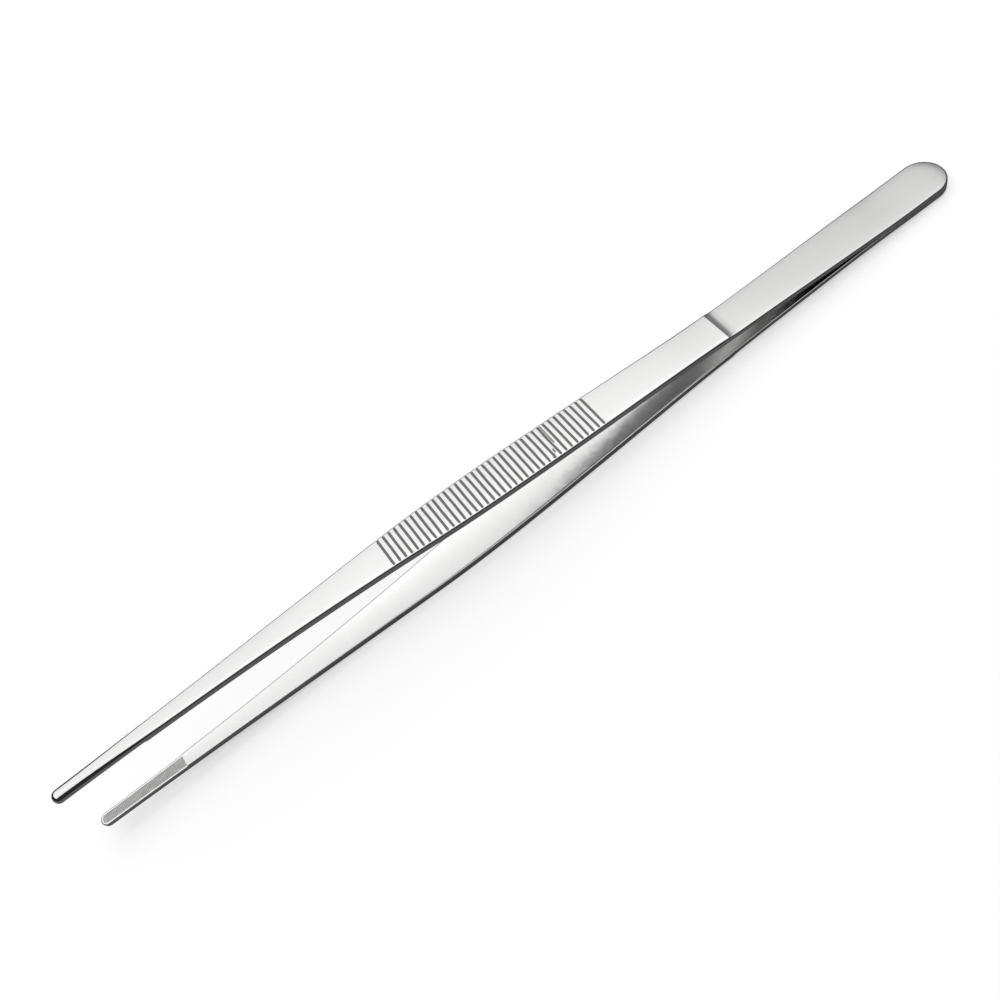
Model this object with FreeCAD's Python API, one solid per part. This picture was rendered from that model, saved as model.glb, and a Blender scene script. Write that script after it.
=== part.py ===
import FreeCAD, Part
import math
import os

from FreeCAD import Vector

# Long thumb forceps: two spring arms of polished stainless steel, welded face to
# face at the head. All sizes are in millimetres.
# While it is built the tool lies along X, with the head end at x = 0, the tips at +X
# and the face on which the arms are welded at z = 0. At the end it is laid down on its
# lower arm, as it rests on a table.

# Plan outline, seen square on to the outer faces
overall_length = 300.0
head_width = 13.8
waist_width = 11.6
waist_x = 88.0
grip_width = 12.9
grip_x = 156.0                 # widest place of the finger grip
elbow_width = 11.2
elbow_x = 189.0                # here the arms stop spreading and start to taper
elbow_taper = 0.057            # how fast half the width shrinks at the elbow
tip_width = 3.8

# Thickness of an arm
head_thickness = 1.75
shoulder_step = 0.42           # the head is this much thinner than the grip
shoulder_x = 84.0              # top edge of the ground shoulder
shoulder_wheel_radius = 17.0   # hollow of the shoulder
grip_thickness = 2.42
front_thickness = 2.50
front_thickness_x = elbow_x + 0.3 * (overall_length - elbow_x)
throat_thickness = 2.30
throat_thickness_x = elbow_x + 0.66 * (overall_length - elbow_x)
tip_thickness = 2.95

# Side profile: the arms part behind the weld, spread to the elbow, and bow back
# towards each other at the tips. The upper arm opens mostly at the shoulder.
weld_length = 14.0             # from here the head also narrows towards the waist
first_bend_x = {"upper_arm": 20.0, "lower_arm": 34.0}
first_bend_length = {"upper_arm": 12.0, "lower_arm": 20.0}
head_slope = {"upper_arm": 0.0305, "lower_arm": 0.0680}
shoulder_bend_length = 12.0
grip_slope = {"upper_arm": 0.0690, "lower_arm": 0.0570}
elbow_bend_length = 16.0
belly_offset = 2.0             # the tool rests on a place this far behind the elbow
front_slope = 0.036
front_bow_radius = 2000.0

# Rounded and broken edges
head_edge_break = 0.22
head_break_runout = 14.0       # length over which it runs out before the shoulder
shoulder_edge_radius = 0.62
grip_edge_radius = 0.40
front_edge_radius = 0.48
tip_edge_radius = 1.50
inner_edge_break = 0.25
weld_seam = 0.05               # fine groove left where the arms meet at the head

# Finger grip: straight round-bottomed grooves across the outer face
groove_count = 38
groove_first_x = 127.3
groove_pitch = 1.842
groove_width = 0.78
groove_depth = 0.30
groove_border = 0.75           # smooth border between a groove's end and the side

# Slip of the grooving tool on the upper arm: a shallow stroke that crosses the grooves
slip_route = ((141.4, -5.5), (141.4, 1.2), (144.2, 5.6))
slip_width = 0.46
slip_depth = 0.10

# Jaws: a sunk pad with fine teeth across it
jaw_length = 27.1
jaw_recess = 0.35
jaw_break_length = 4.0         # here the inner bevel deepens to follow the sunk pad
tooth_pitch = 0.50
tooth_depth = 0.12


def ease(a, b, t):
    """Smooth change from a to b with level ends."""
    t = min(1.0, max(0.0, t))
    return a + (b - a) * t * t * (3.0 - 2.0 * t)


def along(stations, x):
    """Value at x of a run of (x, value) stations joined by smooth changes."""
    if x <= stations[0][0]:
        return stations[0][1]
    for (x0, v0), (x1, v1) in zip(stations, stations[1:]):
        if x <= x1:
            return ease(v0, v1, (x - x0) / (x1 - x0))
    return stations[-1][1]


def half_width(x):
    """Half the width of the plan outline, without the round ends."""
    if x <= elbow_x:
        stations = (
            (weld_length, head_width),
            (waist_x, waist_width),
            (grip_x, grip_width),
            (elbow_x, elbow_width),
        )
        t = max(0.0, (x - grip_x) / (elbow_x - grip_x))
        return along(stations, x) / 2.0 + elbow_taper * (elbow_x - grip_x) * t * t * (1.0 - t)
    # one hollow curve from the elbow to the tip, where it ends level
    drop = (elbow_width - tip_width) / 2.0
    run = overall_length - elbow_x
    power = elbow_taper * run / drop
    return tip_width / 2.0 + drop * max(0.0, 1.0 - (x - elbow_x) / run) ** power


def bend(x, middle, length, slope):
    """Rise behind a bend that is round over its length and straight after it."""
    start = middle - length / 2.0
    if x <= start:
        return 0.0
    if x >= start + length:
        return slope * (x - middle)
    return slope * (x - start) ** 2 / (2.0 * length)


def inner_height(x, arm):
    """Distance from the weld face to the inner face of the arm."""
    z = bend(x, first_bend_x[arm], first_bend_length[arm], head_slope[arm])
    z += bend(x, shoulder_x, shoulder_bend_length, grip_slope[arm] - head_slope[arm])
    z += bend(x, elbow_x, elbow_bend_length, front_slope - grip_slope[arm])
    return z - max(0.0, x - elbow_x) ** 2 / (2.0 * front_bow_radius)


def front_height(x, arm):
    """Distance from the weld face to the outer face, from the shoulder to the tip."""
    stations = (
        (shoulder_x, head_thickness + shoulder_step),
        (elbow_x, grip_thickness),
        (front_thickness_x, front_thickness),
        (throat_thickness_x, throat_thickness),
        (overall_length, tip_thickness),
    )
    return inner_height(x, arm) + along(stations, x)


def ramp_start():
    """Place where the hollow of the shoulder starts to rise from the head."""
    wheel = shoulder_wheel_radius
    return shoulder_x - math.sqrt(wheel ** 2 - (wheel - shoulder_step) ** 2)


def outer_edge_radius(x):
    """Radius along the long edges of the outer face, in front of the shoulder."""
    stations = (
        (ramp_start(), 0.9 * shoulder_step),
        (waist_x, shoulder_edge_radius),
        (groove_first_x, grip_edge_radius),
        (elbow_x, grip_edge_radius),
        (front_thickness_x, front_edge_radius),
        (throat_thickness_x, front_edge_radius),
        (overall_length - tip_width / 2.0, tip_edge_radius),
    )
    return along(stations, x)


def inner_break(x):
    """Bevel of the inner edges; it is deeper at the jaw, whose pad is sunk."""
    jaw_start = overall_length - jaw_length
    stations = (
        (weld_length, weld_seam),
        (weld_length + 6.0, inner_edge_break),
        (jaw_start - jaw_break_length, inner_edge_break),
        (jaw_start, inner_edge_break + jaw_recess),
    )
    return along(stations, x)


def spread(places, widest=10.4, closest=2.5):
    """Places of the sections: the given ones, with even steps between them."""
    places = sorted(places)
    kept = [places[0]]
    for x in places[1:]:
        if x - kept[-1] < closest and x < places[-1]:
            continue
        start = kept[-1]
        count = math.ceil((x - start) / widest)
        kept += [start + (x - start) * (i + 1) / count for i in range(count)]
    return kept


def line(a, b):
    return Part.LineSegment(a, b).toShape()


def right_side(x, half, low, top, inner, outer):
    """Corners of the right half of a section, from the inner to the outer face."""
    return [
        Vector(x, 0, low),
        Vector(x, half - inner, low),
        Vector(x, half, low + inner),
        Vector(x, half, top - outer),
        Vector(x, half - outer, top),
        Vector(x, 0, top),
    ]


def outer_edge(side, top, rounded):
    """Edge between the side and the outer face: a bevel, or a quarter round."""
    if not rounded:
        return line(side, top)
    middle = Vector(side.x, top.y, side.z)
    reach = (top.z - side.z) * math.sqrt(0.5)
    middle.y += math.copysign(reach, side.y)
    middle.z += reach
    return Part.Arc(side, middle, top).toShape()


def full_section(corners, rounded):
    """Closed section, the same on the left as on the right."""
    right = corners[1:5]
    left = [Vector(p.x, -p.y, p.z) for p in right]
    return Part.Wire([
        line(left[0], right[0]),
        line(right[0], right[1]),
        line(right[1], right[2]),
        outer_edge(right[2], right[3], rounded),
        line(right[3], left[3]),
        outer_edge(left[2], left[3], rounded),
        line(left[2], left[1]),
        line(left[1], left[0]),
    ])


def round_end(corners, rounded, sweep):
    """Full-round end: the right half of a section turned about the upright axis."""
    edges = [line(a, b) for a, b in zip(corners[:3], corners[1:4])]
    edges.append(outer_edge(corners[3], corners[4], rounded))
    edges += [line(corners[4], corners[5]), line(corners[5], corners[0])]
    face = Part.Face(Part.Wire(edges))
    return face.revolve(Vector(corners[0].x, 0, 0), Vector(0, 0, 1), sweep)


def head_section(x, arm):
    """Corners of the thin head; its bevel runs out just before the shoulder."""
    low = inner_height(x, arm)
    bevel = ease(0.02, head_edge_break, (ramp_start() - x) / head_break_runout)
    return right_side(x, half_width(x), low, low + head_thickness, inner_break(x), bevel)


def head(arm):
    """Thin back half, from the round head end to the shoulder, with bevelled edges."""
    first = head_width / 2.0
    bend_start = first_bend_x[arm] - first_bend_length[arm] / 2.0
    bend_end = first_bend_x[arm] + first_bend_length[arm] / 2.0
    runout = ramp_start() - head_break_runout
    places = [first, weld_length, bend_start, first_bend_x[arm], bend_end, runout, ramp_start()]
    sections = [head_section(x, arm) for x in spread(places)]
    body = Part.makeLoft([full_section(s, False) for s in sections], True, True)
    return body.fuse(round_end(sections[0], False, 180.0))


def front(arm):
    """Front half, from the hollow shoulder to the round tip, with rounded outer edges."""
    jaw_start = overall_length - jaw_length
    last = overall_length - tip_width / 2.0
    places = [ramp_start(), waist_x, groove_first_x, grip_x]
    places += [elbow_x - belly_offset, elbow_x + elbow_bend_length / 2.0]
    places += [front_thickness_x, throat_thickness_x, jaw_start - jaw_break_length, jaw_start, last]
    sections = []
    for x in spread(places):
        low, top = inner_height(x, arm), front_height(x, arm)
        sections.append(right_side(x, half_width(x), low, top, inner_break(x), outer_edge_radius(x)))
    body = Part.makeLoft([full_section(s, True) for s in sections], True, True)
    body = body.fuse(round_end(sections[-1], True, -180.0))
    return body.cut(shoulder_wheel(arm))


def shoulder_wheel(arm):
    """Grinding wheel that touches the head's face and hollows the shoulder."""
    x = ramp_start()
    rise = inner_height(x + 0.01, arm) - inner_height(x - 0.01, arm)
    tilt = math.atan2(rise, 0.02)
    z = inner_height(x, arm) + head_thickness
    centre_x = x - shoulder_wheel_radius * math.sin(tilt)
    centre_z = z + shoulder_wheel_radius * math.cos(tilt)
    start = Vector(centre_x, -head_width, centre_z)
    return Part.makeCylinder(shoulder_wheel_radius, 2.0 * head_width, start, Vector(0, 1, 0))


def stroke(a, b, width, depth):
    """Round-bottomed cutter from a to b, both on the surface, square at its ends."""
    radius = (width ** 2 / 4.0 + depth ** 2) / (2.0 * depth)
    lift = Vector(0, 0, radius - depth)
    return Part.makeCylinder(radius, (b - a).Length, a + lift, b - a)


def grip_grooves(arm):
    """Cutters of the finger grip."""
    cutters = []
    for i in range(groove_count):
        x = groove_first_x + i * groove_pitch
        z = front_height(x, arm)
        half = half_width(x) - groove_border
        cutters.append(stroke(Vector(x, -half, z), Vector(x, half, z), groove_width, groove_depth))
    return cutters


def slip_mark(arm):
    """Shallow crooked stroke across three of the grooves."""
    route = [Vector(x, y, front_height(x, arm)) for x, y in slip_route]
    return [stroke(a, b, slip_width, slip_depth) for a, b in zip(route, route[1:])]


def jaw_cutter(arm):
    """Cutter that sinks the pad of the jaw and leaves teeth across it."""
    start = overall_length - jaw_length
    count = int(jaw_length / tooth_pitch)
    points = [Vector(start, 0, inner_height(start, arm) - 2.0)]
    for i in range(count):
        x = start + i * tooth_pitch
        floor = inner_height(x, arm) + jaw_recess
        points.append(Vector(x, 0, floor))
        points.append(Vector(x + 0.5 * tooth_pitch, 0, floor + tooth_depth))
    end = start + count * tooth_pitch
    points.append(Vector(end, 0, inner_height(end, arm) + jaw_recess))
    points.append(Vector(overall_length + 1.0, 0, inner_height(end, arm) + jaw_recess))
    points.append(Vector(overall_length + 1.0, 0, inner_height(end, arm) - 2.0))
    face = Part.Face(Part.makePolygon(points + [points[0]]))
    face.translate(Vector(0, -head_width, 0))
    return face.extrude(Vector(0, 2.0 * head_width, 0))


def arm_solid(arm):
    """One finished arm, on the upper side of the weld face."""
    body = head(arm).fuse(front(arm))
    cutters = grip_grooves(arm) + [jaw_cutter(arm)]
    if arm == "upper_arm":
        cutters += slip_mark(arm)
    return body.cut(cutters).Solids[0]


def resting_tilt():
    """Angle at which the lower arm lies on the floor with its head end and its belly."""
    toe = head_edge_break
    steepest = 0.0
    for i in range(1000):
        x = overall_length * (0.35 + 0.0005 * i)
        rise = front_height(x, "lower_arm") - head_thickness
        steepest = max(steepest, rise / (x - toe))
    return math.degrees(math.atan(steepest))


def lay_down(shapes):
    """Turn the tool onto its lower arm and set the origin under its middle."""
    whole = FreeCAD.BoundBox()
    for shape in shapes.values():
        shape.rotate(Vector(0, 0, 0), Vector(0, 1, 0), -resting_tilt())
        whole.add(shape.optimalBoundingBox(False, False))
    for shape in shapes.values():
        shape.translate(Vector(-whole.Center.x, -whole.Center.y, -whole.ZMin))


def main():
    upper = arm_solid("upper_arm")
    lower = arm_solid("lower_arm").mirror(Vector(0, 0, 0), Vector(0, 0, 1))
    shapes = {"upper_arm": upper, "lower_arm": lower}
    lay_down(shapes)
    os.makedirs("parts", exist_ok=True)
    for name, shape in shapes.items():
        shape.exportStep("parts/" + name + ".step")


main()
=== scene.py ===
import math

import bpy
import numpy as np
from mathutils import Matrix, Vector


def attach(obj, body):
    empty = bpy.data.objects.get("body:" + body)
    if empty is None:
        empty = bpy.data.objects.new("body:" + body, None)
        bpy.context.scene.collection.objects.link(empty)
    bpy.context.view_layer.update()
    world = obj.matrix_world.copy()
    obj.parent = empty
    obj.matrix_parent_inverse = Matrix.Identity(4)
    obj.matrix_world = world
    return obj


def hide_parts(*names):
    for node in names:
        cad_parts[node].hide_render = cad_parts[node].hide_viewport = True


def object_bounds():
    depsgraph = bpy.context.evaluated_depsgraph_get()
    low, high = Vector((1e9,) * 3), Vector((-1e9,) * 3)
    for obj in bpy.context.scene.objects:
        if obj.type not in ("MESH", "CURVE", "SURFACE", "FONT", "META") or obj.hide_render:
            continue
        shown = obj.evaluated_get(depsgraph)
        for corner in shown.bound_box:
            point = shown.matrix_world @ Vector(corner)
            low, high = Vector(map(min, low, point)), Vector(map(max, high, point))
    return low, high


bl_info = {
    "name": "Thumb forceps",
    "version": (1, 0, 0),
    "blender": (4, 5, 0),
    "location": "3D View > Sidebar > Forceps",
    "description": "Builds a pair of long thumb forceps in polished steel, and its studio",
    "category": "Object",
}

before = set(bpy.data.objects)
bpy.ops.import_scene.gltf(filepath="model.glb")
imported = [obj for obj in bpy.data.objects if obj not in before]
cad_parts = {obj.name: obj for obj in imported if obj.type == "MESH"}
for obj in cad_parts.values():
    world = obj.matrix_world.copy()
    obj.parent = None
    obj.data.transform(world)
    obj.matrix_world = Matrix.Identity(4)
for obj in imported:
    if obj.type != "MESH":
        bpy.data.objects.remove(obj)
cad_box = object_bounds()
MM = 0.001


# Sizes and colours


def length(name, text, millimetres):
    """Size given in millimetres and kept in metres."""
    return bpy.props.FloatProperty(
        name=name, description=text, default=millimetres * MM, unit="LENGTH", precision=5
    )


def ratio(name, text, value):
    """Plain number, such as a slope or a roughness."""
    return bpy.props.FloatProperty(name=name, description=text, default=value, precision=4)


def colour(name, text, value):
    """Colour with three parts from 0 to 1."""
    return bpy.props.FloatVectorProperty(
        name=name, description=text, default=value, subtype="COLOR", size=3, min=0.0, max=1.0
    )


class ForcepsSizes(bpy.types.PropertyGroup):
    """Sizes of both arms, in metres, with the head end at x = 0 and the weld face at z = 0."""

    overall_length: length("Overall length", "From the head end to the tips", 300.0)
    head_width: length("Head width", "Width of the head, whose end is fully round", 13.8)
    waist_width: length("Waist width", "Narrowest place behind the finger grip", 11.6)
    waist_x: length("Waist place", "Distance of the waist from the head end", 88.0)
    grip_width: length("Grip width", "Widest place of the finger grip", 12.9)
    grip_x: length("Grip place", "Distance of the widest place from the head end", 156.0)
    grip_start: length("Grip start", "Where the outer edges turn crisp for the fingers", 127.3)
    elbow_width: length("Elbow width", "Width where the arms stop spreading", 11.2)
    elbow_x: length("Elbow place", "Distance of the elbow from the head end", 189.0)
    elbow_taper: ratio("Elbow taper", "How fast half the width shrinks at the elbow", 0.057)
    tip_width: length("Tip width", "Width of the round tip", 3.8)

    head_thickness: length("Head thickness", "Thickness of the ground head of one arm", 1.75)
    shoulder_step: length("Shoulder step", "How much thinner the head is than the grip", 0.42)
    shoulder_x: length("Shoulder place", "Top edge of the hollow shoulder", 84.0)
    shoulder_wheel: length("Shoulder wheel", "Radius of the hollow of the shoulder", 17.0)
    grip_thickness: length("Grip thickness", "Thickness at the elbow", 2.42)
    front_thickness: length("Front thickness", "Thickness in front of the elbow", 2.50)
    throat_thickness: length("Throat thickness", "Thinnest place behind the jaw", 2.30)
    tip_thickness: length("Tip thickness", "Thickness at the tip", 2.95)

    weld_length: length("Weld length", "Length over which the arms are joined", 14.0)
    front_slope: ratio("Front slope", "Slope of the arms right in front of the elbow", 0.036)
    front_bow: length("Front bow", "Radius with which the front bows back to the tips", 2000.0)
    shoulder_bend: length("Shoulder bend", "Length of the bend at the shoulder", 12.0)
    elbow_bend: length("Elbow bend", "Length of the bend at the elbow", 16.0)

    head_edge: length("Head edge", "Radius of the worn edge of the thin head", 0.50)
    shoulder_edge: length("Shoulder edge", "Radius of the outer edges at the waist", 0.72)
    grip_edge: length("Grip edge", "Radius of the outer edges along the grip", 0.52)
    front_edge: length("Front edge", "Radius of the outer edges in front of the elbow", 0.52)
    tip_edge: length("Tip edge", "Radius of the outer edges at the tip", 1.50)
    inner_edge: length("Inner edge", "Radius of the inner edges", 0.38)
    weld_seam: length("Weld seam", "Radius of the inner edges along the weld", 0.05)
    weld_fade: length("Weld fade", "Length over which the inner edges round off after the weld", 6.0)
    face_crown: length("Face crown", "How much the polished outer face falls to its sides", 0.15)
    inner_hollow: length("Inner hollow", "How much the inner face is ground hollow along the grip", 0.30)
    hollow_x: length("Hollow start", "Where the inner face starts to be hollow", 60.0)
    hollow_rise: length("Hollow rise", "Length over which the hollow deepens", 40.0)
    hollow_fade: length("Hollow fade", "Length over which the hollow fades past the elbow", 50.0)
    rest_inset: length("Rest inset", "How far from its end the head touches the floor", 0.22)


class ForcepsDetails(bpy.types.PropertyGroup):
    """Grooves of the finger grip, and jaws."""

    groove_count: bpy.props.IntProperty(name="Grooves", description="Grooves on each arm", default=38)
    groove_first_x: length("First groove", "Distance of the first groove from the head end", 127.3)
    groove_pitch: length("Groove pitch", "Distance between two grooves", 1.842)
    groove_width: length("Groove width", "Width of a groove at the surface", 0.68)
    groove_depth: length("Groove depth", "Depth of a groove", 0.30)
    groove_border: length("Groove border", "Smooth border between a groove's end and the side", 0.45)
    groove_wander: length("Groove wander", "How far hand work lets a groove stray", 0.05)
    slip_width: length("Slip width", "Width of the stroke where the tool slipped", 0.46)
    slip_depth: length("Slip depth", "Depth of the stroke where the tool slipped", 0.11)
    jaw_length: length("Jaw length", "Length of the sunk pad", 27.1)
    jaw_recess: length("Jaw recess", "How deep the pad is sunk", 0.35)
    jaw_rim: length("Jaw rim", "Width of the slope between the pad and the inner edge", 0.22)
    tooth_pitch: length("Tooth pitch", "Distance between two teeth of the pad", 0.50)
    tooth_depth: length("Tooth depth", "Depth of the teeth of the pad", 0.10)


class ForcepsFinish(bpy.types.PropertyGroup):
    """Colours and polish of the steel."""

    steel: colour("Steel", "Colour of the polished steel", (0.76, 0.76, 0.755))
    head_steel: colour("Head steel", "Colour of the head and the hollow shoulder", (0.69, 0.69, 0.685))
    ground_steel: colour("Ground steel", "Colour of the inner faces", (0.755, 0.755, 0.75))
    pad_steel: colour("Pad steel", "Colour of the blasted jaw pads", (0.45, 0.45, 0.445))
    # Grooves: rougher unpolished steel, whose colour is also darkened with painted shade in the recesses.
    groove_steel_and_shade: colour("Groove steel", "Colour of the unpolished grooves", (0.28, 0.28, 0.275))
    polish: ratio("Polish", "Roughness of the outer faces", 0.15)
    ground_polish: ratio("Ground polish", "Roughness of the inner faces", 0.20)
    pad_polish: ratio("Pad polish", "Roughness of the jaw pads", 0.45)
    groove_polish: ratio("Groove polish", "Roughness of the grooves", 0.38)


class ForcepsStudio(bpy.types.PropertyGroup):
    """Table, light and camera."""

    # Painted reflection: the steel mirrors the table as a lighter strip near the tool and darker farther
    # off; these colours stand in for light on the table.
    painted_reflection_near: colour("Table", "Table near the tool, as the steel mirrors it", (0.20, 0.20, 0.20))
    painted_reflection_far: colour("Table, far", "Table farther off, as the steel mirrors it", (0.05, 0.05, 0.05))
    table_seen: colour("Table, seen", "Colour of the table as the camera sees it", (0.66, 0.66, 0.66))
    painted_reflection_strip: length("Table, near", "Half the width of the strip that counts as near", 40.0)
    painted_reflection_reach: length("Table, away", "Distance to the side that counts as far", 130.0)
    table_edge: length("Table edge", "Distance at which the table starts to fade into white", 500.0)
    table_end: length("Table end", "Distance at which the table is all white", 1200.0)
    table_glow: ratio("Table glow", "Share of white that the camera sees on the table without light", 0.56)
    room: ratio("Room", "Brightness of the dim room round the table", 0.025)
    lamp: ratio("Lamp", "Brightness of the broad soft lamp over the tool", 1.60)
    lamp_height: bpy.props.FloatProperty(
        name="Lamp height", description="Above the table", default=1.5, unit="LENGTH"
    )
    focal: bpy.props.FloatProperty(
        name="Focal length", description="Of the camera, in millimetres", default=39.92
    )
    place: bpy.props.FloatVectorProperty(
        name="Camera place",
        description="Where the camera is",
        default=(0.03188616, 0.16641321, 0.26616123),
        unit="LENGTH",
    )
    aim: bpy.props.FloatVectorProperty(
        name="Camera aim",
        description="What the camera points at",
        default=(0.01162536, 0.00174072, 0.012),
        unit="LENGTH",
    )
    roll: bpy.props.FloatProperty(
        name="Camera roll",
        description="Turn of the camera about its own view",
        default=math.radians(-32.54),
        unit="ROTATION",
    )


# Shape of an arm
# Lengths along the arm are measured from the head end, as in the drawing of the tool.

# Middle and span of the bend behind the weld, the slopes that follow, the stroke where the
# tool slipped, and two places of the front as shares of its length from the elbow.
FIRST_BEND = {"upper_arm": (0.020, 0.012), "lower_arm": (0.034, 0.020)}
HEAD_SLOPE = {"upper_arm": 0.0305, "lower_arm": 0.0680}
GRIP_SLOPE = {"upper_arm": 0.0690, "lower_arm": 0.0570}
SLIP_ROUTE = ((0.1414, -0.0055), (0.1414, 0.0012), (0.1442, 0.0056))
SWELL, THROAT = 0.30, 0.66

# Points of half a section: shares of the inner face, degrees round the inner edge, shares
# of the side, degrees round the outer edge, and shares of the outer face.
INNER_SHARES = (0.0, 0.35, 0.65, 0.85, 0.94, 1.0)
INNER_TURNS = (0.0, 22.5, 45.0, 67.5, 90.0)
SIDE_SHARES = (0.33, 0.67)
OUTER_TURNS = (0.0, 14.0, 28.0, 42.0, 56.0, 70.0, 84.0)
FACE_SHARES = (0.985, 0.965, 0.945, 0.925, 0.905, 0.885, 0.865, 0.84, 0.75, 0.5, 0.25, 0.0)
INNER_POINTS = len(INNER_SHARES)
TOP_POINT = len(INNER_SHARES + INNER_TURNS + SIDE_SHARES) - 1
END_STEPS = 28

POLISHED, GROUND, PAD, GROOVE, HEAD = range(5)


def ease(a, b, t):
    """Smooth change from a to b with level ends."""
    t = np.clip(t, 0.0, 1.0)
    return a + (b - a) * t * t * (3.0 - 2.0 * t)


def along(stations, x):
    """Value at x of a run of (x, value) stations joined by smooth changes."""
    value = np.full_like(x, stations[0][1])
    for (x0, v0), (x1, v1) in zip(stations, stations[1:]):
        value = np.where(x > x0, ease(v0, v1, (x - x0) / (x1 - x0)), value)
    return value


def half_width(s, x):
    """Half the width of the plan outline, without the round ends."""
    stations = (
        (s.weld_length, s.head_width),
        (s.waist_x, s.waist_width),
        (s.grip_x, s.grip_width),
        (s.elbow_x, s.elbow_width),
    )
    t = np.clip((x - s.grip_x) / (s.elbow_x - s.grip_x), 0.0, 1.0)
    back = along(stations, x) / 2.0 + s.elbow_taper * (s.elbow_x - s.grip_x) * t * t * (1.0 - t)
    drop = (s.elbow_width - s.tip_width) / 2.0
    run = s.overall_length - s.elbow_x
    power = s.elbow_taper * run / drop
    rest = np.clip(1.0 - (x - s.elbow_x) / run, 0.0, 1.0)
    return np.where(x <= s.elbow_x, back, s.tip_width / 2.0 + drop * rest ** power)


def front_place(s, share):
    """Place at this share of the front, from the elbow to the tips."""
    return s.elbow_x + share * (s.overall_length - s.elbow_x)


def bend(x, middle, span, slope):
    """Rise behind a bend that is round over its span and straight after it."""
    start = middle - span / 2.0
    inside = slope * (x - start) ** 2 / (2.0 * span)
    return np.where(x <= start, 0.0, np.where(x >= start + span, slope * (x - middle), inside))


def inner_height(s, arm, x):
    """Distance from the weld face to the inner face."""
    z = bend(x, *FIRST_BEND[arm], HEAD_SLOPE[arm])
    z = z + bend(x, s.shoulder_x, s.shoulder_bend, GRIP_SLOPE[arm] - HEAD_SLOPE[arm])
    z = z + bend(x, s.elbow_x, s.elbow_bend, s.front_slope - GRIP_SLOPE[arm])
    return z - np.maximum(0.0, x - s.elbow_x) ** 2 / (2.0 * s.front_bow)


def thickness(s, x):
    """Thickness in front of the shoulder."""
    stations = (
        (s.shoulder_x, s.head_thickness + s.shoulder_step),
        (s.elbow_x, s.grip_thickness),
        (front_place(s, SWELL), s.front_thickness),
        (front_place(s, THROAT), s.throat_thickness),
        (s.overall_length, s.tip_thickness),
    )
    return along(stations, x)


def ramp_start(s):
    """Place where the hollow of the shoulder starts to rise from the head."""
    return s.shoulder_x - math.sqrt(s.shoulder_wheel ** 2 - (s.shoulder_wheel - s.shoulder_step) ** 2)


def ground_thickness(s, x):
    """Thickness that the grinding wheel leaves: the thin head and the hollow shoulder."""
    t = np.clip(x - ramp_start(s), 0.0, 0.7 * s.shoulder_wheel)
    return s.head_thickness + s.shoulder_wheel - np.sqrt(s.shoulder_wheel ** 2 - t ** 2)


def edge_radius(s, x):
    """Radius along the long edges of the outer face, in front of the shoulder."""
    stations = (
        (ramp_start(s), 0.9 * s.shoulder_step),
        (s.waist_x, s.shoulder_edge),
        (s.grip_start, s.grip_edge),
        (s.elbow_x, s.grip_edge),
        (front_place(s, SWELL), s.front_edge),
        (front_place(s, THROAT), s.front_edge),
        (s.overall_length - s.tip_width / 2.0, s.tip_edge),
    )
    return along(stations, x)


def inner_radius(s, x):
    """Radius of the inner edges, which nearly vanishes along the weld."""
    return ease(s.weld_seam, s.inner_edge, (x - s.weld_length) / s.weld_fade)


def round_fall(radius, inset):
    """How far a rounded edge has fallen at this distance in from the side."""
    near = np.clip(radius - inset, 0.0, radius)
    return radius - np.sqrt(np.maximum(radius ** 2 - near ** 2, 0.0))


def groove_fall(s, d, arm, x, y):
    """Depth of the grip's grooves and of the slipped stroke at a point of the outer face."""
    half = d.groove_width / 2.0
    number = np.clip(np.round((x - d.groove_first_x) / d.groove_pitch), 0, d.groove_count - 1)
    shift = 0.0 if arm == "upper_arm" else 1.3
    stray = np.sin(number * 2.4 + shift) + np.sin(number * 5.1) * 0.7
    centre = d.groove_first_x + number * d.groove_pitch + d.groove_wander * 0.5 * stray
    reach = half_width(s, centre) - d.groove_border - half
    sway = d.groove_wander * np.sin(y / (1.9 * MM) + number * 1.7)
    far = np.hypot(x - centre - sway, np.maximum(np.abs(y) - reach, 0.0))
    deep = d.groove_depth * (1.0 - (far / half) ** 2)
    if arm == "upper_arm":
        for (x0, y0), (x1, y1) in zip(SLIP_ROUTE, SLIP_ROUTE[1:]):
            run = (x1 - x0) ** 2 + (y1 - y0) ** 2
            t = np.clip(((x - x0) * (x1 - x0) + (y - y0) * (y1 - y0)) / run, 0.0, 1.0)
            far = np.hypot(x - x0 - t * (x1 - x0), y - y0 - t * (y1 - y0))
            deep = np.maximum(deep, d.slip_depth * (1.0 - (2.0 * far / d.slip_width) ** 2))
    soft = 0.02 * MM
    return (deep + np.sqrt(deep ** 2 + soft ** 2)) / 2.0 * (deep > -4.0 * soft)


def outer_surface(s, d, arm, x, inset, y, low):
    """Height of the outer face, where low is the height of the inner face."""
    blank = thickness(s, x) - round_fall(edge_radius(s, x), inset)
    ground = ground_thickness(s, x) - round_fall(np.full_like(x, s.head_edge), inset)
    gap = blank - ground
    soft = 0.012 * MM
    body = (blank + ground - np.sqrt(gap ** 2 + soft ** 2)) / 2.0
    return low + body - groove_fall(s, d, arm, x, y)


def hollow(s, x, across):
    """How far the inner face is ground hollow; across runs from 0 to 1 at its rim."""
    behind = ease(0.0, 1.0, (x - s.hollow_x) / s.hollow_rise)
    front = ease(1.0, 0.2, (x - s.elbow_x) / s.hollow_fade)
    return s.inner_hollow * behind * front * (1.0 - across ** 2)


def pad_fall(s, d, x):
    """Depth of the sunk pad and its teeth under the inner face."""
    start = s.overall_length - d.jaw_length
    phase = np.mod((x - start) / d.tooth_pitch, 1.0)
    teeth = d.tooth_depth * (1.0 - np.abs(2.0 * phase - 1.0))
    return np.where(x > start, d.jaw_recess + teeth, 0.0)


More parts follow.
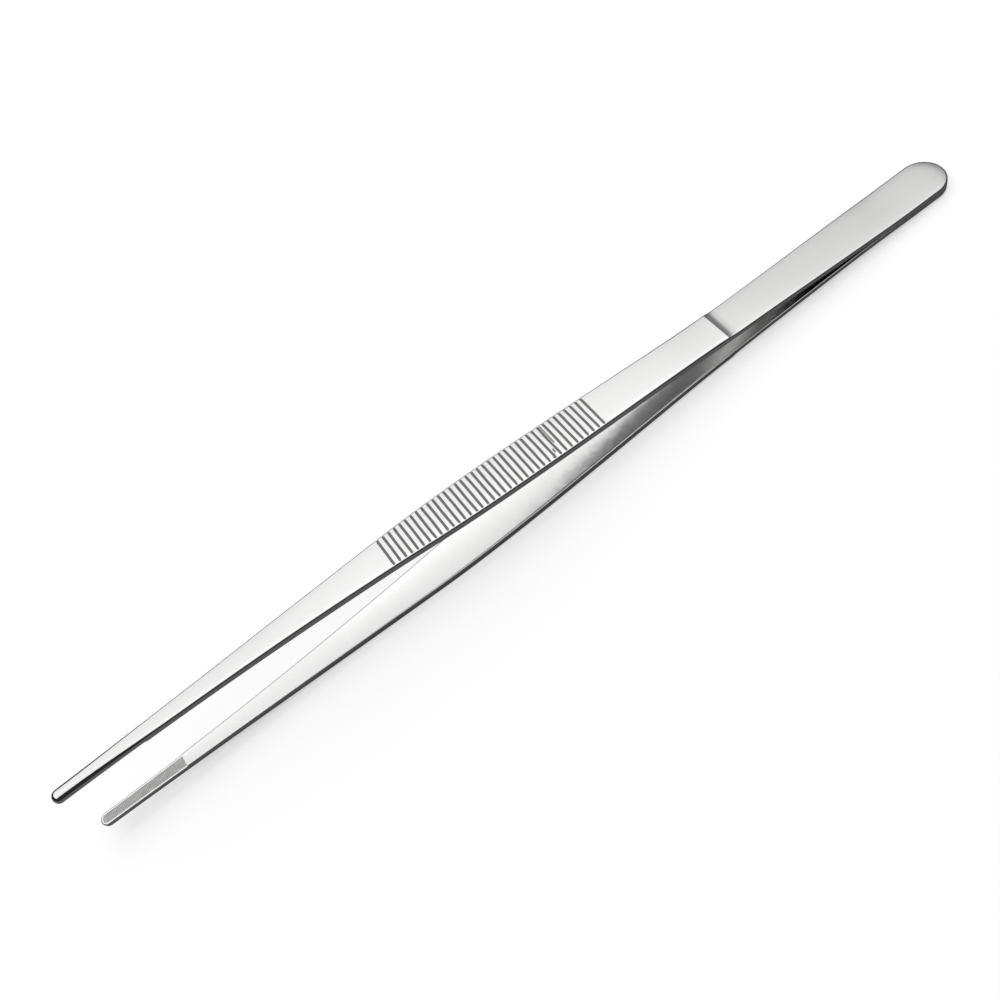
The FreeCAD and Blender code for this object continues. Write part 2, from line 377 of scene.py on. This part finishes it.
def places_along(s, d):
    """Places of the sections, dense at the shoulder, the grooves and the jaw."""
    first = s.head_width / 2.0
    last = s.overall_length - s.tip_width / 2.0
    runs = [np.arange(first, last, 2.0 * MM), [last]]
    runs.append(np.arange(s.weld_length - 0.001, 0.050, 1.0 * MM))
    runs.append(np.arange(ramp_start(s) - 0.002, s.waist_x, 0.25 * MM))
    runs.append(s.shoulder_x + np.array([-0.08, -0.04, 0.04, 0.08, 0.12, 0.16]) * MM)
    step = np.array([0.0, 0.09, 0.18, 0.26, 0.33, 0.38, 0.43, 0.50, 0.62, 0.925]) * MM
    step = np.unique(np.concatenate([step, -step[:-1]]))
    for i in range(d.groove_count):
        runs.append(d.groove_first_x + i * d.groove_pitch + step)
    start = s.overall_length - d.jaw_length
    runs.append(start + np.array([-0.30, -0.05, -0.002, 0.002]) * MM)
    runs.append(np.arange(start, last, d.tooth_pitch / 4.0))
    x = np.sort(np.concatenate(runs))
    x = x[(x > first + 0.02 * MM) & (x < last - 0.02 * MM)]
    x = x[np.diff(x, prepend=0.0) > 1e-6]
    return np.concatenate([[first], x, [last]])


def half_section(s, d, arm, x, turn=None):
    """Right half of the sections at places x, from the inner to the outer middle line.

    Gives the distance from the middle plane and the height of each point. turn is the
    angle of the round ends, where the section sweeps round an upright axis.
    """
    half = half_width(s, x)[:, None]
    at = x[:, None]
    low = inner_height(s, arm, x)[:, None]
    rin = inner_radius(s, x)[:, None]
    edge = edge_radius(s, x)
    up_ramp = (x - ramp_start(s)) / (s.shoulder_x - ramp_start(s))
    rout = np.where(x < s.shoulder_x, ease(s.head_edge, edge, up_ramp), edge)[:, None]
    inside, outside = [], []

    def real_place(u):
        if turn is None:
            return at + 0.0 * u, u
        return at + u * np.cos(turn), u * np.sin(turn)

    for share in INNER_SHARES:
        u = share * (half - rin - d.jaw_rim)
        sunk = pad_fall(s, d, real_place(u)[0])
        inside.append((u, low + sunk + np.where(sunk > 0.0, 0.0, hollow(s, at, share))))
    foot = low + np.where(pad_fall(s, d, at) > 0.0, d.jaw_recess, 0.0)
    for turned in INNER_TURNS:
        a = math.radians(turned)
        inside.append((half - rin + rin * math.sin(a), foot + rin * (1.0 - math.cos(a))))
    side_top = outer_surface(s, d, arm, at + 0.0 * half, 0.0 * half, half, low)
    for share in SIDE_SHARES:
        inside.append((half, foot + rin + share * (side_top - foot - rin)))
    for turned in OUTER_TURNS:
        inset = rout * (1.0 - math.cos(math.radians(turned)))
        u = half - inset
        outside.append((u, outer_surface(s, d, arm, at + 0.0 * u, inset, u, low)))
    for share in FACE_SHARES:
        u = share * (half - rout)
        aside = real_place(u)[1]
        outside.append((u, outer_surface(s, d, arm, at + 0.0 * u, half - u, aside, low)))
    outside = [(u, z - s.face_crown * (u / half) ** 4) for u, z in outside]
    across, height = zip(*(inside + outside))
    return np.concatenate(across, axis=1), np.concatenate(height, axis=1)


def arm_mesh(s, d, arm):
    """Vertices, faces and the surface of each face of one arm, before it is laid down."""
    x = places_along(s, d)
    u, z = half_section(s, d, arm, x)
    many, wide = u.shape
    ring = 2 * wide - 2
    points = np.zeros((many, ring, 3))
    points[:, :, 0] = x[:, None]
    points[:, :wide, 1] = u
    points[:, wide:, 1] = -u[:, wide - 2:0:-1]
    points[:, :wide, 2] = z
    points[:, wide:, 2] = z[:, wide - 2:0:-1]
    vertices = [points.reshape(-1, 3)]
    faces, marks = [], []
    start_of_jaw = s.overall_length - d.jaw_length

    def surface(k, place, depth=0.0):
        """Finish of the face after point k of the section."""
        if depth > 0.12 * d.groove_depth:
            return GROOVE
        k = k if k < wide - 1 else ring - 1 - k
        if k < INNER_POINTS:
            return PAD if place > start_of_jaw and k < INNER_POINTS - 1 else GROUND
        return HEAD if place < s.shoulder_x else POLISHED

    middles = (points[:-1] + points[1:]) / 2.0
    middles = (middles + np.roll(middles, -1, axis=1)) / 2.0
    cut = groove_fall(s, d, arm, middles[:, :, 0], middles[:, :, 1])
    top = np.arange(ring)
    top = np.where(top < wide - 1, top, ring - 1 - top) >= TOP_POINT
    cut = np.where(top[None, :], cut, 0.0)
    for i in range(many - 1):
        for k in range(ring):
            n = (k + 1) % ring
            faces.append((i * ring + k, i * ring + n, (i + 1) * ring + n, (i + 1) * ring + k))
            marks.append(surface(k, middles[i, k, 0], cut[i, k]))

    total = many * ring
    for end, sweep in ((0, -1.0), (many - 1, 1.0)):
        base = end * ring
        place = x[end]
        previous = [base + k for k in range(wide)]
        axis_low, axis_top = base, base + wide - 1
        for j in range(1, END_STEPS + 1):
            if j < END_STEPS:
                turn = math.pi * j / END_STEPS
                # from the right side (+y) round the end to the left side (-y)
                dx, dy = sweep * math.sin(turn), math.cos(turn)
                swept = math.atan2(dy, dx)
                uu, zz = half_section(s, d, arm, np.array([place]), swept)
                uu, zz = uu[0], zz[0]
                fresh = np.stack([place + uu * dx, uu * dy, zz], axis=1)[1:wide - 1]
                vertices.append(fresh)
                line = [axis_low] + [total + k for k in range(wide - 2)] + [axis_top]
                total += wide - 2
            else:
                line = [base] + [base + ring - k for k in range(1, wide - 1)] + [axis_top]
            for k in range(wide - 1):
                a, b, c, e = previous[k], previous[k + 1], line[k + 1], line[k]
                corners = (a, b, c, e)
                face = [v for n, v in enumerate(corners) if v not in corners[:n]]
                faces.append(tuple(face if end else reversed(face)))
                marks.append(surface(k, place + sweep * 0.5 * MM))
            previous = line
    return np.concatenate(vertices), faces, marks


def resting_tilt(s):
    """Angle at which the lower arm lies on the floor with its head end and its belly."""
    # the belly lies somewhere between these two places
    x = np.linspace(0.1, 0.26, 1601)
    rise = inner_height(s, "lower_arm", x) + thickness(s, x) - s.head_thickness
    return math.atan(float((rise / (x - s.rest_inset)).max()))


# Shader maths


class Wire:
    """A node's output, which can be used in sums and products."""

    def __init__(self, tree, socket):
        self.tree = tree
        self.socket = socket

    def maths(self, operation, *values):
        return self.tree.node("ShaderNodeMath", {"operation": operation}, dict(enumerate(values)))

    def __add__(self, other):
        return self.maths("ADD", self, other)

    def __radd__(self, other):
        return self.maths("ADD", other, self)

    def __sub__(self, other):
        return self.maths("SUBTRACT", self, other)

    def __rsub__(self, other):
        return self.maths("SUBTRACT", other, self)

    def __mul__(self, other):
        return self.maths("MULTIPLY", self, other)

    def __rmul__(self, other):
        return self.maths("MULTIPLY", other, self)

    def between(self, low, high):
        """0 up to low and 1 from high on, with a smooth change between them."""
        return self.tree.node(
            "ShaderNodeMapRange",
            {"interpolation_type": "SMOOTHSTEP", "clamp": True},
            {"Value": self, "From Min": low, "From Max": high},
        )

    def above(self, level, soft):
        """0 well below the level and 1 well above it."""
        return self.between(level - soft, level + soft)


class Tree:
    """Adds nodes to a material or world."""

    def __init__(self, tree):
        self.nodes = tree.nodes
        self.links = tree.links
        self.nodes.clear()

    def node(self, kind, settings=None, inputs=None, output=0):
        made = self.nodes.new(kind)
        for key, value in (settings or {}).items():
            setattr(made, key, value)
        for key, value in (inputs or {}).items():
            self.join(made.inputs[key], value)
        return Wire(self, made.outputs[output]) if made.outputs else made

    def join(self, socket, value):
        if isinstance(value, Wire):
            self.links.new(value.socket, socket)
        else:
            socket.default_value = value

    def blend(self, factor, first, second):
        """Mix of two colours."""
        made = self.nodes.new("ShaderNodeMix")
        made.data_type = "RGBA"
        made.clamp_factor = False
        for socket, value in ((made.inputs[0], factor), (made.inputs[6], first), (made.inputs[7], second)):
            self.join(socket, value)
        return Wire(self, made.outputs[2])


def rgba(colour_value, k=1.0):
    return tuple(c * k for c in colour_value) + (1.0,)


def noise(tree, stretch, scale, detail=2.0, rough=0.5):
    """Noise in the object's own metres, stretched by a factor for each direction."""
    where = tree.node("ShaderNodeTexCoord", output="Object")
    laid = tree.node("ShaderNodeMapping", {"vector_type": "POINT"}, {"Vector": where, "Scale": stretch})
    return tree.node(
        "ShaderNodeTexNoise",
        {"noise_dimensions": "3D"},
        {"Vector": laid, "Scale": scale, "Detail": detail, "Roughness": rough},
        "Fac",
    )


def steel(name, base, rough, grain_stretch, grain_height, scratch_stretch, wave_height):
    """Polished or ground steel with a fine grain, faint scratches, waves and handling marks."""
    made = bpy.data.materials.new(name)
    made.use_nodes = True
    tree = Tree(made.node_tree)
    grain = noise(tree, grain_stretch, 1.0, 3.0, 0.6)
    scratch = noise(tree, scratch_stretch, 1.0, 1.0, 0.4).above(0.70, 0.03)
    smear = noise(tree, (60.0, 90.0, 90.0), 1.0, 2.0, 0.5)
    roughness = rough + (grain - 0.5) * 0.10 + (smear - 0.5) * 0.07 + scratch * 0.05
    waves = noise(tree, (330.0, 120.0, 120.0), 1.0, 2.0, 0.5)
    height = (grain * 0.6 + scratch * -0.4) * grain_height + waves * wave_height
    bump = tree.node("ShaderNodeBump", None, {"Strength": 1.0, "Distance": 0.00001, "Height": height})
    tint = tree.blend((smear - 0.35) * 1.4, rgba(base, 0.965), rgba(base, 1.0))
    shader = tree.node(
        "ShaderNodeBsdfPrincipled",
        None,
        {"Base Color": tint, "Metallic": 1.0, "Roughness": roughness, "Normal": bump},
    )
    tree.node("ShaderNodeOutputMaterial", None, {"Surface": shader})
    return made


def blasted_steel(name, base, rough):
    """Matt steel of the jaw pads, mottled by the blasting in streaks along the arm."""
    made = bpy.data.materials.new(name)
    made.use_nodes = True
    tree = Tree(made.node_tree)
    grit = noise(tree, (9000.0, 9000.0, 9000.0), 1.0, 2.0, 0.6)
    cloud = noise(tree, (500.0, 1400.0, 1400.0), 1.0, 3.0, 0.6)
    tint = tree.blend(cloud.above(0.5, 0.22), rgba(base, 0.84), rgba(base, 1.12))
    bump = tree.node("ShaderNodeBump", None, {"Strength": 0.35, "Distance": 0.00002, "Height": grit})
    shader = tree.node(
        "ShaderNodeBsdfPrincipled",
        None,
        {"Base Color": tint, "Metallic": 1.0, "Roughness": rough + (grit - 0.5) * 0.2, "Normal": bump},
    )
    tree.node("ShaderNodeOutputMaterial", None, {"Surface": shader})
    return made


# Light
# Places on the lamp are tangents of the angle from straight up, seen from the tool. The
# lamp's edges are given first, then what each change adds, and from where to where.

LAMP_EDGES = (-1.80, 1.05, -2.10, 0.645)
LAMP_HEAD_SIDE = ((0.62, -1.22, -0.93), (0.16, -0.78, -0.56))
LAMP_TIP_SIDE = ((-0.06, -0.10, 0.15),)
LAMP_DEPTH = ((0.11, -0.95, -0.50), (0.20, -0.52, -0.34), (-0.26, -0.30, -0.10))


def pattern(place, brightness, changes):
    """Brightness along a place, with all the smooth changes added."""
    for share, low, high in changes:
        brightness = brightness + share * place.between(low, high)
    return brightness


# Operators


class FORCEPS_OT_arms(bpy.types.Operator):
    """Build both spring arms and lay them down on the floor"""

    bl_idname = "forceps.arms"
    bl_label = "Build the arms"

    def execute(self, context):
        s = context.scene.forceps_sizes
        d = context.scene.forceps_details
        f = context.scene.forceps_finish
        lengthwise = {
            "grain_stretch": (90.0, 5200.0, 5200.0),
            "grain_height": 0.10,
            "scratch_stretch": (120.0, 9000.0, 9000.0),
            "wave_height": 0.3,
        }
        crosswise = {
            "grain_stretch": (4200.0, 260.0, 260.0),
            "grain_height": 0.25,
            "scratch_stretch": (5200.0, 160.0, 160.0),
            "wave_height": 9.0,
        }
        unpolished = {
            "grain_stretch": (2600.0, 400.0, 2600.0),
            "grain_height": 0.30,
            "scratch_stretch": (300.0, 300.0, 300.0),
            "wave_height": 0.5,
        }
        finishes = {
            POLISHED: steel("polished_steel", f.steel, f.polish, **lengthwise),
            GROUND: steel("ground_steel", f.ground_steel, f.ground_polish, **crosswise),
            PAD: blasted_steel("blasted_steel", f.pad_steel, f.pad_polish),
            # groove colour: unpolished steel, darkened with painted shade in the recesses
            GROOVE: steel("groove_steel_and_shade", f.groove_steel_and_shade, f.groove_polish, **unpolished),
            HEAD: steel("head_steel", f.head_steel, f.polish, **lengthwise),
        }
        built = {}
        for arm in ("upper_arm", "lower_arm"):
            vertices, faces, marks = arm_mesh(s, d, arm)
            if arm == "lower_arm":
                vertices[:, 2] *= -1.0
                faces = [tuple(reversed(face)) for face in faces]
            built[arm] = (vertices, faces, marks)
        tilt = resting_tilt(s)
        turn = np.array(Matrix.Rotation(-tilt, 3, "Y"))
        laid = {arm: part[0] @ turn.T for arm, part in built.items()}
        every = np.concatenate(list(laid.values()))
        # the arms come to lie in the middle of the solids' box, and sideways on its middle plane
        middle = (every.min(axis=0) + every.max(axis=0)) / 2.0
        shift = np.array(cad_box).mean(axis=0) - middle
        shift[1] = 0.0
        for arm, (_, faces, marks) in built.items():
            mesh = bpy.data.meshes.new(arm + "_steel")
            mesh.from_pydata((laid[arm] + shift).tolist(), [], faces)
            for number in sorted(finishes):
                mesh.materials.append(finishes[number])
            mesh.polygons.foreach_set("material_index", marks)
            mesh.polygons.foreach_set("use_smooth", [True] * len(faces))
            mesh.validate()
            mesh.update()
            piece = bpy.data.objects.new(arm + "_steel", mesh)
            context.scene.collection.objects.link(piece)
            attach(piece, "root")
            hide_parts(arm)
        return {"FINISHED"}


class FORCEPS_OT_studio(bpy.types.Operator):
    """Set up the floor, the soft light, the dim room and the camera"""

    bl_idname = "forceps.studio"
    bl_label = "Set up the studio"

    def execute(self, context):
        st = context.scene.forceps_studio
        self.table(context, st)
        self.room(context, st)
        self.lamp(context, st)
        self.camera(context, st)
        context.scene.view_settings.view_transform = "Standard"
        return {"FINISHED"}

    def sheet(self, context, name, x0, x1, y0, y1, z):
        """Flat sheet with an empty material, whose nodes the caller adds."""
        mesh = bpy.data.meshes.new(name)
        mesh.from_pydata([(x0, y0, z), (x1, y0, z), (x1, y1, z), (x0, y1, z)], [], [(0, 1, 2, 3)])
        made = bpy.data.materials.new(name + "_surface")
        made.use_nodes = True
        mesh.materials.append(made)
        piece = bpy.data.objects.new(name, mesh)
        context.scene.collection.objects.link(piece)
        return Tree(made.node_tree)

    def table(self, context, st):
        """Matt table: the camera sees it pale, fading into the white room, the steel dark, with a painted
        reflection of light in a lighter strip near the tool.
        """
        tree = self.sheet(context, "table", -3.0, 3.0, -3.0, 3.0, 0.0)
        seen = tree.node("ShaderNodeLightPath", output="Is Camera Ray")
        where = tree.node("ShaderNodeTexCoord", output="Object")
        side = tree.node("ShaderNodeSeparateXYZ", None, {"Vector": where}, "Y")
        side = side.maths("ABSOLUTE", side)
        away = tree.node("ShaderNodeVectorMath", {"operation": "LENGTH"}, {0: where}, "Value")
        # painted reflection: lighter in the strip near the tool, darker farther to the side
        far = side.between(st.painted_reflection_strip, st.painted_reflection_reach)
        painted_reflection_tint = tree.blend(far, rgba(st.painted_reflection_near), rgba(st.painted_reflection_far))
        shaded = 1.0 - away.between(st.table_edge, st.table_end)
        pale = tree.blend(shaded, (0.0, 0.0, 0.0, 1.0), rgba(st.table_seen))
        tint = tree.blend(seen, painted_reflection_tint, pale)
        white = tree.blend(shaded, (1.0, 1.0, 1.0, 1.0), rgba((1.0, 1.0, 1.0), st.table_glow))
        glow = tree.blend(seen, (0.0, 0.0, 0.0, 1.0), white)
        shade = tree.node(
            "ShaderNodeBsdfPrincipled",
            None,
            {
                "Base Color": tint,
                "Roughness": 1.0,
                "Specular IOR Level": 0.0,
                "Emission Color": glow,
                "Emission Strength": 1.0,
            },
        )
        tree.node("ShaderNodeOutputMaterial", None, {"Surface": shade})

    def room(self, context, st):
        """Dim room that shows white behind the table."""
        world = bpy.data.worlds.new("dim_room")
        world.use_nodes = True
        context.scene.world = world
        tree = Tree(world.node_tree)
        seen = tree.node("ShaderNodeLightPath", output="Is Camera Ray")
        tint = tree.blend(seen, (st.room, st.room, st.room, 1.0), (1.0, 1.0, 1.0, 1.0))
        shade = tree.node("ShaderNodeBackground", None, {"Color": tint, "Strength": 1.0})
        tree.node("ShaderNodeOutputWorld", None, {"Surface": shade})

    def lamp(self, context, st):
        """Broad soft lamp over and behind the tool; it ends short of the camera's side.

        It has a bright band just behind the tool, dims a little to the back and fades
        past the head end.
        """
        h = st.lamp_height
        tree = self.sheet(context, "soft_lamp", *(h * edge for edge in LAMP_EDGES), h)
        where = tree.node("ShaderNodeTexCoord", output="Object")
        across = tree.node("ShaderNodeSeparateXYZ", None, {"Vector": where}, "X") * (1.0 / h)
        back = tree.node("ShaderNodeSeparateXYZ", None, {"Vector": where}, "Y") * (1.0 / h)
        head_side = pattern(across, 0.22, LAMP_HEAD_SIDE)
        tip_side = pattern(across, 1.0, LAMP_TIP_SIDE)
        depth = pattern(back, 0.69, LAMP_DEPTH)
        glow = tree.blend(head_side * tip_side * depth, (0.0, 0.0, 0.0, 1.0), (1.0, 1.0, 1.0, 1.0))
        shade = tree.node(
            "ShaderNodeBsdfPrincipled",
            None,
            {
                "Base Color": (0.0, 0.0, 0.0, 1.0),
                "Specular IOR Level": 0.0,
                "Emission Color": glow,
                "Emission Strength": st.lamp,
            },
        )
        tree.node("ShaderNodeOutputMaterial", None, {"Surface": shade})

    def camera(self, context, st):
        """Camera at the angle of the product picture, turned about its own view."""
        data = bpy.data.cameras.new("camera")
        data.lens = st.focal
        data.sensor_width = 36.0
        data.clip_start, data.clip_end = 0.01, 20.0
        camera = bpy.data.objects.new("camera", data)
        place, aim = Vector(st.place), Vector(st.aim)
        ahead = (aim - place).normalized()
        level = ahead.cross(Vector((0.0, 0.0, 1.0))).normalized()
        over = level.cross(ahead)
        right = level * math.cos(st.roll) + over * math.sin(st.roll)
        up = right.cross(ahead)
        camera.matrix_world = Matrix(
            (
                (right.x, up.x, -ahead.x, place.x),
                (right.y, up.y, -ahead.y, place.y),
                (right.z, up.z, -ahead.z, place.z),
                (0.0, 0.0, 0.0, 1.0),
            )
        )
        context.scene.collection.objects.link(camera)
        context.scene.camera = camera


class FORCEPS_PT_panel(bpy.types.Panel):
    """Panel that lists the steps"""

    bl_label = "Thumb forceps"
    bl_idname = "FORCEPS_PT_panel"
    bl_space_type = "VIEW_3D"
    bl_region_type = "UI"
    bl_category = "Forceps"

    def draw(self, context):
        layout = self.layout
        layout.operator("forceps.arms")
        layout.operator("forceps.studio")
        for group in (context.scene.forceps_finish, context.scene.forceps_studio):
            box = layout.box()
            for name in group.__annotations__:
                box.prop(group, name)


CLASSES = (
    ForcepsSizes,
    ForcepsDetails,
    ForcepsFinish,
    ForcepsStudio,
    FORCEPS_OT_arms,
    FORCEPS_OT_studio,
    FORCEPS_PT_panel,
)
GROUPS = {
    "forceps_sizes": ForcepsSizes,
    "forceps_details": ForcepsDetails,
    "forceps_finish": ForcepsFinish,
    "forceps_studio": ForcepsStudio,
}


def register():
    for made in CLASSES:
        bpy.utils.register_class(made)
    for name, group in GROUPS.items():
        setattr(bpy.types.Scene, name, bpy.props.PointerProperty(type=group))


def unregister():
    for name in GROUPS:
        delattr(bpy.types.Scene, name)
    for made in reversed(CLASSES):
        bpy.utils.unregister_class(made)


def main():
    register()
    bpy.ops.forceps.arms()
    bpy.ops.forceps.studio()


if __name__ == "__main__":
    main()
